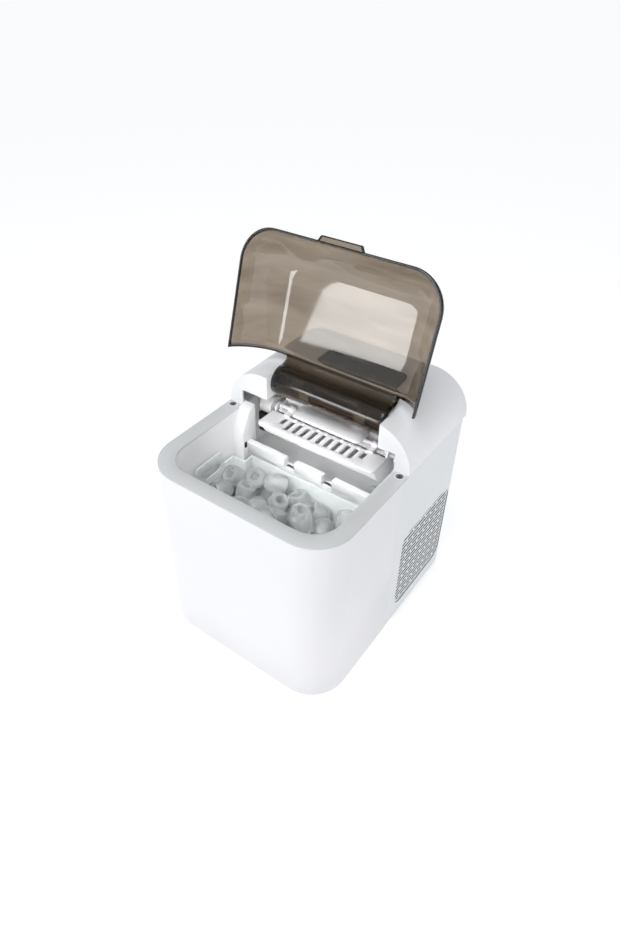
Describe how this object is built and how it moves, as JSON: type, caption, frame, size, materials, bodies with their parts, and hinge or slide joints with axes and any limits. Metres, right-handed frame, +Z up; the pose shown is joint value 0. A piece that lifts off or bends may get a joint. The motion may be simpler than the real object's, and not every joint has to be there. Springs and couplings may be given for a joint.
{
  "type": "ice maker",
  "caption": "Countertop ice maker with a smoked lid that tips open, a lift-out ice basket, a tipping freezer tray, a slotted ice shovel and a fan-cooled compressor.",
  "frame": {"origin": "on the table, under the middle of the case", "axes": "+Z up, -Y out of the front of the machine, +X to the right seen from the front"},
  "size_m": [0.222, 0.263, 0.4182],
  "materials": {
    "base_plastic": "fine matte moulding",
    "foot_rubber": "matte",
    "white_shell": "satin white",
    "side_plastic": "satin cool white",
    "rear_plastic": "matte",
    "screw_steel": "zinc plated",
    "hood_plastic": "satin white",
    "liner_plastic": "satin light grey",
    "foam": "expanded foam",
    "pillar_plastic": "satin",
    "sensor_window": "glossy dark lens",
    "panel_gloss": "glossy black",
    "button_black": "satin black",
    "board_green": "solder mask",
    "smoked_clear": "smoked clear plastic",
    "pin_steel": "ground steel",
    "basket_plastic": "translucent grey",
    "ice": "wet clear ice",
    "tray_plastic": "satin",
    "motor_case": "matte",
    "switch_black": "matte",
    "shovel_plastic": "satin white",
    "copper_tube": "drawn copper",
    "finger_nickel": "nickel plated",
    "bracket_steel": "stainless",
    "pump_black": "matte",
    "strainer_plastic": "natural",
    "hose_silicone": "translucent silicone",
    "plug_plastic": "matte",
    "seal_rubber": "matte",
    "compressor_enamel": "black enamel",
    "mount_rubber": "matte",
    "cover_plastic": "matte",
    "fin_aluminium": "mill",
    "fan_motor_case": "matte",
    "fan_plastic": "matte",
    "valve_brass": "machined",
    "gland_black": "matte"
  },
  "bodies": {
    "cabinet": {"base_pan": "base_plastic", "rubber_feet": "foot_rubber", "front_shell": "white_shell", "side_panel_left": "side_plastic", "side_panel_right": "side_plastic", "rear_panel": "rear_plastic", "rear_screws": "screw_steel", "hood": "hood_plastic", "bin_liner": "liner_plastic", "rim_screws": "screw_steel", "foam_jacket": "foam", "divider": "pillar_plastic", "ice_chute": "pillar_plastic", "sensor_pillar": "pillar_plastic", "ice_sensor": "sensor_window", "control_window": "panel_gloss", "control_board": "board_green", "main_board": "board_green", "tray_motor": "motor_case", "tray_switches": "switch_black", "shovel_axle": "shovel_plastic", "evaporator_guard": "shovel_plastic", "evaporator_tube": "copper_tube", "evaporator_fingers": "finger_nickel", "evaporator_bracket": "bracket_steel", "water_pump": "pump_black", "pump_strainer": "strainer_plastic", "water_hose": "hose_silicone", "compressor": "compressor_enamel", "compressor_mounts": "mount_rubber", "compressor_cover": "cover_plastic", "condenser_fins": "fin_aluminium", "condenser_tube": "copper_tube", "fan_motor": "fan_motor_case", "fan_shroud": "fan_plastic", "hot_gas_valve": "valve_brass", "filter_dryer": "copper_tube", "discharge_pipe": "copper_tube", "liquid_pipe": "copper_tube", "suction_pipe": "copper_tube", "capillary": "copper_tube", "cord_gland": "gland_black", "bay_baffle": "pillar_plastic"},
    "lid": {"lid": "smoked_clear", "lid_pins": "pin_steel"},
    "basket": {"ice_basket": "basket_plastic", "ice_bullets": "ice"},
    "tray": {"water_tray": "tray_plastic", "tray_shaft": "pin_steel"},
    "shovel": {"ice_shovel": "shovel_plastic"},
    "fan": {"fan_blade": "fan_plastic"},
    "power_button": {"button_power": "button_black"},
    "size_button": {"button_size": "button_black"},
    "plug": {"drain_plug": "plug_plastic", "drain_seal": "seal_rubber"}
  },
  "joints": [
    {"name": "lid_hinge", "type": "hinge", "parent": "cabinet", "child": "lid", "pos_m": [0, 0.029, 0.2595], "axis": [-1, 0, 0], "range_deg": [-107, 0]},
    {"name": "basket_lift", "type": "slide", "parent": "cabinet", "child": "basket", "axis": [0, 0, 1], "range_m": [0, 0.2]},
    {"name": "tray_tilt", "type": "hinge", "parent": "cabinet", "child": "tray", "pos_m": [0, 0.0315, 0.22], "axis": [1, 0, 0], "range_deg": [0, 60]},
    {"name": "shovel_swing", "type": "hinge", "parent": "cabinet", "child": "shovel", "pos_m": [0, 0.0315, 0.224], "axis": [1, 0, 0], "range_deg": [0, 30]},
    {"name": "fan_spin", "type": "hinge", "parent": "cabinet", "child": "fan", "pos_m": [0, 0.071, 0.077], "axis": [1, 0, 0], "continuous": true},
    {"name": "power_press", "type": "slide", "parent": "cabinet", "child": "power_button", "axis": [0, 0, -1], "range_m": [0, 0.0012], "stiffness_N_per_m": 400},
    {"name": "size_press", "type": "slide", "parent": "cabinet", "child": "size_button", "axis": [0, 0, -1], "range_m": [0, 0.0012], "stiffness_N_per_m": 400},
    {"name": "drain_plug_pull", "type": "slide", "parent": "cabinet", "child": "plug", "axis": [-1, 0, 0], "range_m": [0, 0.03]}
  ],
  "couplings": [
    {"joint": "shovel_swing", "follows": "tray_tilt", "ratio": 0.5}
  ]
}
